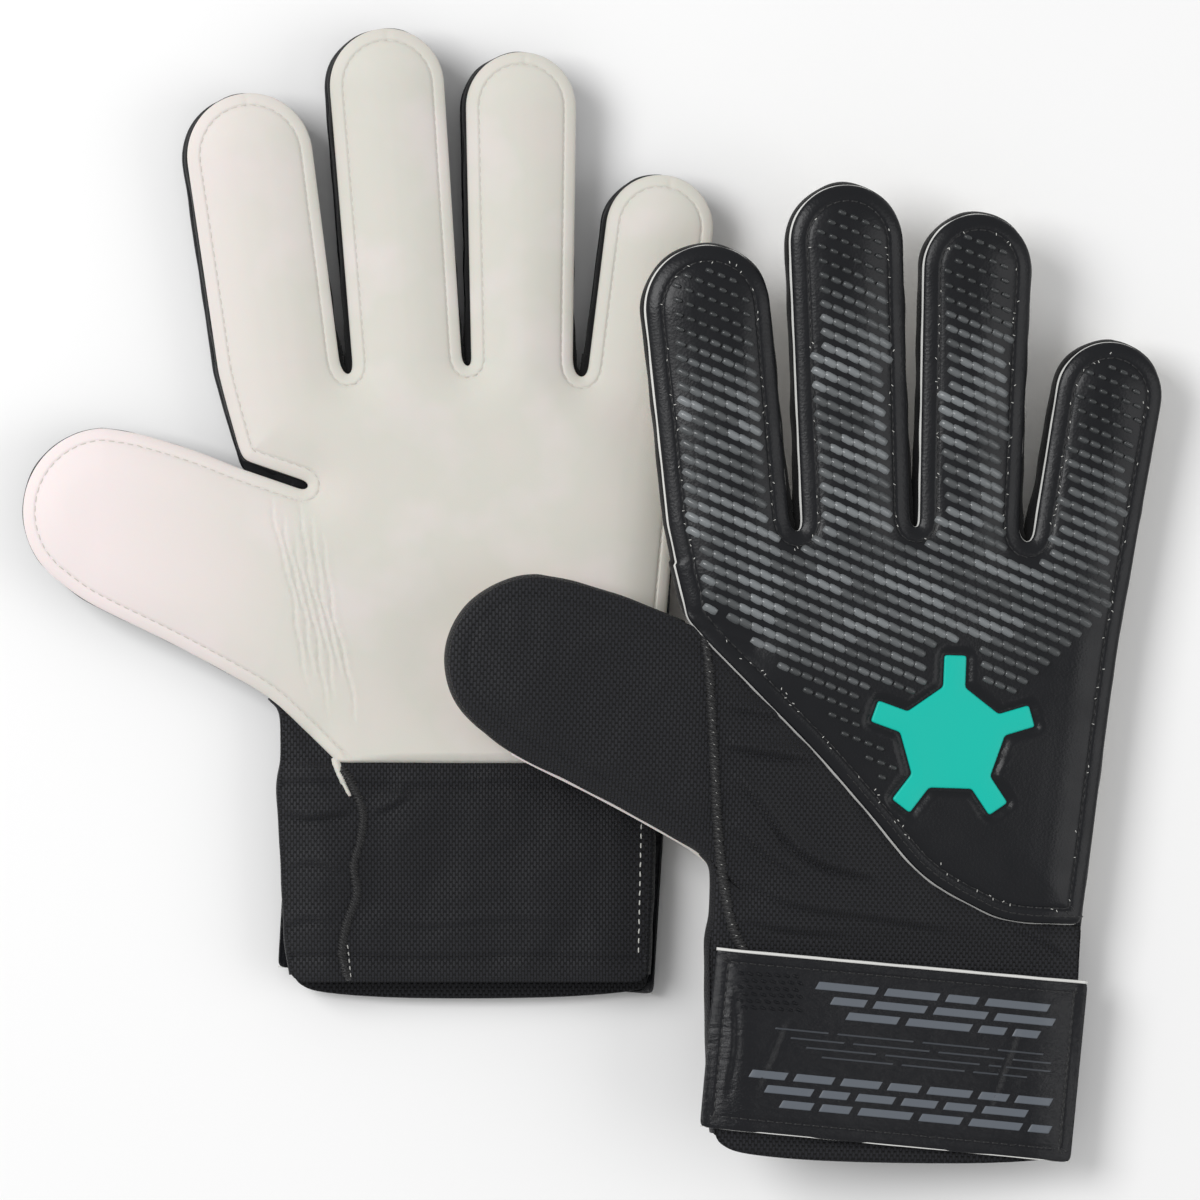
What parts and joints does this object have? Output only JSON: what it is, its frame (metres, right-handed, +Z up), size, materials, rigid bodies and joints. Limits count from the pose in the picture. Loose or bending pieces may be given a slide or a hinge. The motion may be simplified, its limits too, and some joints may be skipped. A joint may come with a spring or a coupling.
{
  "type": "goalkeeper gloves",
  "caption": "pair of goalkeeper gloves with soft latex palms, embossed foam backs, mesh cuffs and wide wrist straps, one lying partly over the other",
  "frame": {"origin": "middle of the bounding box of the pair, on the surface that they lie on", "axes": "+Z up, +Y towards the fingertips of the left glove, +X from the left glove towards the right one"},
  "size_m": [0.3228, 0.322, 0.047],
  "materials": {
    "latex": "soft off-white foamed latex, smooth and matt",
    "back_foam": "black polyurethane skin embossed over foam, satin",
    "lining": "brushed knit",
    "mesh": "black air mesh with small oval pores",
    "gusset": "black knit between the fingers",
    "emblem": "teal moulded film, satin",
    "loop_pile": "loop pile of a touch fastener",
    "strap": "glossy polyurethane skin over foam with a printed pattern",
    "hook_tape": "hook side of a touch fastener"
  },
  "bodies": {
    "left_hand": {"left_palm_latex": "latex", "left_palm_lining": "lining", "left_backhand_panel": "back_foam", "left_back_lining": "lining", "left_back_mesh_panel": "mesh", "left_emblem": "emblem", "left_outer_gusset": "gusset", "left_inner_gusset": "gusset", "left_cuff_thumb_gusset": "mesh", "left_cuff_palm_panel": "mesh", "left_cuff_back_panel": "mesh", "left_loop_pad": "loop_pile"},
    "left_index": {"left_index_back": "back_foam", "left_index_gusset": "gusset", "left_index_palm": "latex"},
    "left_middle": {"left_middle_back": "back_foam", "left_middle_gusset": "gusset", "left_middle_palm": "latex"},
    "left_ring": {"left_ring_back": "back_foam", "left_ring_gusset": "gusset", "left_ring_palm": "latex"},
    "left_little": {"left_little_back": "back_foam", "left_little_gusset": "gusset", "left_little_palm": "latex"},
    "left_thumb": {"left_thumb_back": "mesh", "left_thumb_gusset": "gusset", "left_thumb_palm": "latex"},
    "left_strap": {"left_strap": "strap", "left_hook_pad": "hook_tape"},
    "right_hand": {"right_palm_latex": "latex", "right_palm_lining": "lining", "right_backhand_panel": "back_foam", "right_back_lining": "lining", "right_back_mesh_panel": "mesh", "right_emblem": "emblem", "right_outer_gusset": "gusset", "right_inner_gusset": "gusset", "right_cuff_thumb_gusset": "mesh", "right_cuff_palm_panel": "mesh", "right_cuff_back_panel": "mesh", "right_loop_pad": "loop_pile"},
    "right_index": {"right_index_back": "back_foam", "right_index_gusset": "gusset", "right_index_palm": "latex"},
    "right_middle": {"right_middle_back": "back_foam", "right_middle_gusset": "gusset", "right_middle_palm": "latex"},
    "right_ring": {"right_ring_back": "back_foam", "right_ring_gusset": "gusset", "right_ring_palm": "latex"},
    "right_little": {"right_little_back": "back_foam", "right_little_gusset": "gusset", "right_little_palm": "latex"},
    "right_thumb": {"right_thumb_back": "mesh", "right_thumb_gusset": "gusset", "right_thumb_palm": "latex"},
    "right_strap": {"right_strap": "strap", "right_hook_pad": "hook_tape"}
  },
  "joints": [
    {"name": "left_index_curl", "type": "hinge", "parent": "left_hand", "child": "left_index", "pos_m": [-0.08896, 0.06627, 0.01894], "axis": [0.9909, 0.1346, 0], "range_deg": [0, 75]},
    {"name": "left_middle_curl", "type": "hinge", "parent": "left_hand", "child": "left_middle", "pos_m": [-0.05256, 0.06727, 0.01894], "axis": [0.9974, 0.0718, 0], "range_deg": [0, 75]},
    {"name": "left_ring_curl", "type": "hinge", "parent": "left_hand", "child": "left_ring", "pos_m": [-0.01996, 0.06727, 0.01894], "axis": [1, 0.0042, 0], "range_deg": [0, 75]},
    {"name": "left_little_splay", "type": "hinge", "parent": "left_hand", "child": "left_little", "pos_m": [0.02811, 0.06234, 0.00994], "axis": [0, 0, -1], "range_deg": [0, 6]},
    {"name": "left_thumb_curl", "type": "hinge", "parent": "left_hand", "child": "left_thumb", "pos_m": [-0.08036, -0.00373, 0.01894], "axis": [0, 1, 0], "range_deg": [0, 75]},
    {"name": "left_strap_open", "type": "hinge", "parent": "left_hand", "child": "left_strap", "pos_m": [-0.08951, -0.07963, 0.00274], "axis": [0.0574, 0.9983, 0], "range_deg": [0, 150]},
    {"name": "right_index_bend_back", "type": "hinge", "parent": "right_hand", "child": "right_index", "pos_m": [0.03836, 0.02228, 0.03724], "axis": [0.9833, 0.1013, -0.1511], "range_deg": [0, 45]},
    {"name": "right_middle_bend_back", "type": "hinge", "parent": "right_hand", "child": "right_middle", "pos_m": [0.07434, 0.02206, 0.03164], "axis": [0.9875, 0.0383, -0.1529], "range_deg": [0, 45]},
    {"name": "right_ring_bend_back", "type": "hinge", "parent": "right_hand", "child": "right_ring", "pos_m": [0.10654, 0.02097, 0.02661], "axis": [0.9876, -0.0293, -0.1542], "range_deg": [0, 45]},
    {"name": "right_little_bend_back", "type": "hinge", "parent": "right_hand", "child": "right_little", "pos_m": [0.13961, 0.01685, 0.02139], "axis": [0.9741, -0.165, -0.1545], "range_deg": [0, 45]},
    {"name": "right_thumb_bend_back", "type": "hinge", "parent": "right_hand", "child": "right_thumb", "pos_m": [0.04435, -0.04795, 0.03504], "axis": [0.0359, 0.9993, 0.0125], "range_deg": [0, 60]},
    {"name": "right_strap_open", "type": "hinge", "parent": "right_hand", "child": "right_strap", "pos_m": [0.03231, -0.12346, 0.03373], "axis": [-0.0925, -0.9957, -0.0036], "range_deg": [0, 150]},
    {"name": "right_glove_lift", "type": "slide", "parent": "left_hand", "child": "right_hand", "axis": [0, 0, 1], "range_m": [0, 0.12]}
  ]
}
